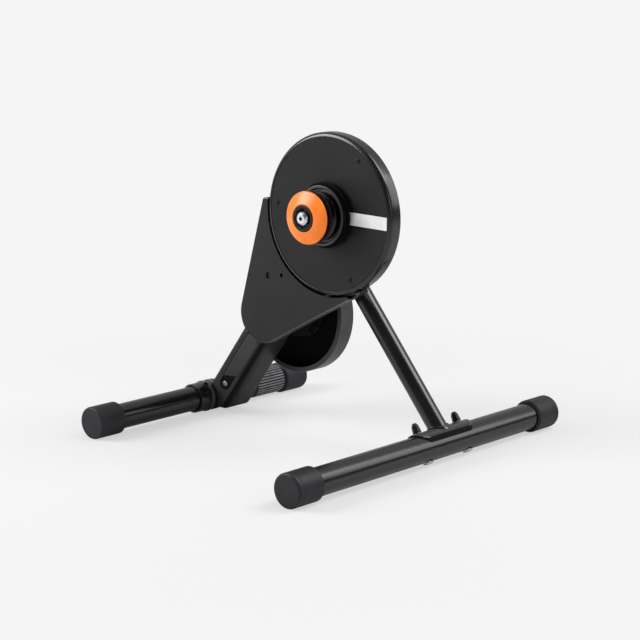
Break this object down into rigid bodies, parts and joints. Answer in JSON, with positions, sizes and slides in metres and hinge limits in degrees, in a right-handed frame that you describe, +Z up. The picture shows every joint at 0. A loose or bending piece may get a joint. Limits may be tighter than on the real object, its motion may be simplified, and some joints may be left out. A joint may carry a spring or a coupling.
{
  "type": "direct drive bike trainer",
  "caption": "Floor stand that replaces a bike's rear wheel: cog and freehub on a fixed axle, round belt drive housing, braked flywheel, inclined beam, strut and two rubber-capped floor bars.",
  "frame": {"origin": "on the floor, under the middle of the footprint; the axle is 340 mm above the floor and 47 mm ahead of the origin", "axes": "+X towards the front of the bike, +Y to the bike's left (the drive side faces -Y), +Z up"},
  "size_m": [0.5048, 0.58, 0.4585],
  "materials": {
    "black_paint": "satin black powder coat",
    "grey_shell": "fine matte moulded shell",
    "cap_rubber": "matte rubber",
    "belt_rubber": "ribbed belt rubber",
    "bright_steel": "turned steel",
    "black_steel": "black oxide",
    "machined_aluminium": "machined",
    "cast_iron": "painted casting",
    "orange_disc": "orange coat",
    "white_strip": "bare strip",
    "stator": "wound poles"
  },
  "bodies": {
    "frame": {"axle": "bright_steel", "axle_boss": "black_paint", "axle_nut": "bright_steel", "beam_panel": "grey_shell", "belt_cover": "grey_shell", "brake_stator": "stator", "collar_screw_left": "black_steel", "collar_screw_right": "black_steel", "cover_screw_1": "black_steel", "cover_screw_2": "black_steel", "drive_belt": "belt_rubber", "drum_face": "grey_shell", "drum_screw_1": "black_steel", "drum_screw_2": "black_steel", "drum_screw_3": "black_steel", "drum_shell": "grey_shell", "end_cap_drive": "bright_steel", "end_cap_left": "bright_steel", "foot_bolt_left": "bright_steel", "foot_bolt_right": "bright_steel", "foot_nut_left": "black_steel", "foot_nut_right": "black_steel", "foot_saddle": "black_paint", "front_bar": "black_paint", "front_cap_left": "cap_rubber", "front_cap_right": "cap_rubber", "grip_sleeve": "cap_rubber", "idler_arm": "black_steel", "idler_pivot_bolt": "bright_steel", "idler_roller_bolt": "bright_steel", "label_strip": "white_strip", "main_beam": "black_paint", "main_plate": "black_paint", "panel_screw": "black_steel", "power_jack": "grey_shell", "rear_cap_left": "cap_rubber", "rear_cap_right": "cap_rubber", "rear_leg_left": "black_paint", "rear_leg_right": "black_paint", "shaft_bearing_far": "bright_steel", "shaft_bearing_near": "bright_steel", "shaft_housing": "black_paint", "socket_sleeve": "black_paint", "strut_tube": "black_paint", "upper_arm": "black_paint"},
    "flywheel": {"flywheel": "cast_iron", "flywheel_magnets": "black_steel", "flywheel_shaft": "bright_steel", "small_pulley": "machined_aluminium", "shaft_nut": "bright_steel"},
    "pulley": {"drive_pulley": "machined_aluminium", "hub_bearing": "bright_steel", "hub_flange": "black_steel", "hub_cup": "black_steel"},
    "freehub": {"freehub_body": "bright_steel", "drive_cog": "bright_steel", "guard_outer": "orange_disc", "guard_inner": "grey_shell", "lock_ring": "black_steel"},
    "idler": {"idler_roller": "machined_aluminium"}
  },
  "joints": [
    {"name": "flywheel_spin", "type": "hinge", "parent": "frame", "child": "flywheel", "pos_m": [-0.095, 0.04, 0.17], "axis": [0, 1, 0], "continuous": true},
    {"name": "pulley_spin", "type": "hinge", "parent": "frame", "child": "pulley", "pos_m": [0.047, 0, 0.34], "axis": [0, 1, 0], "continuous": true},
    {"name": "freehub_spin", "type": "hinge", "parent": "frame", "child": "freehub", "pos_m": [0.047, -0.04, 0.34], "axis": [0, 1, 0], "continuous": true},
    {"name": "idler_spin", "type": "hinge", "parent": "frame", "child": "idler", "pos_m": [-0.0736, 0.003, 0.2366], "axis": [0, 1, 0], "continuous": true}
  ],
  "couplings": [
    {"joint": "pulley_spin", "follows": "flywheel_spin", "ratio": 0.1359},
    {"joint": "idler_spin", "follows": "flywheel_spin", "ratio": 0.875}
  ]
}
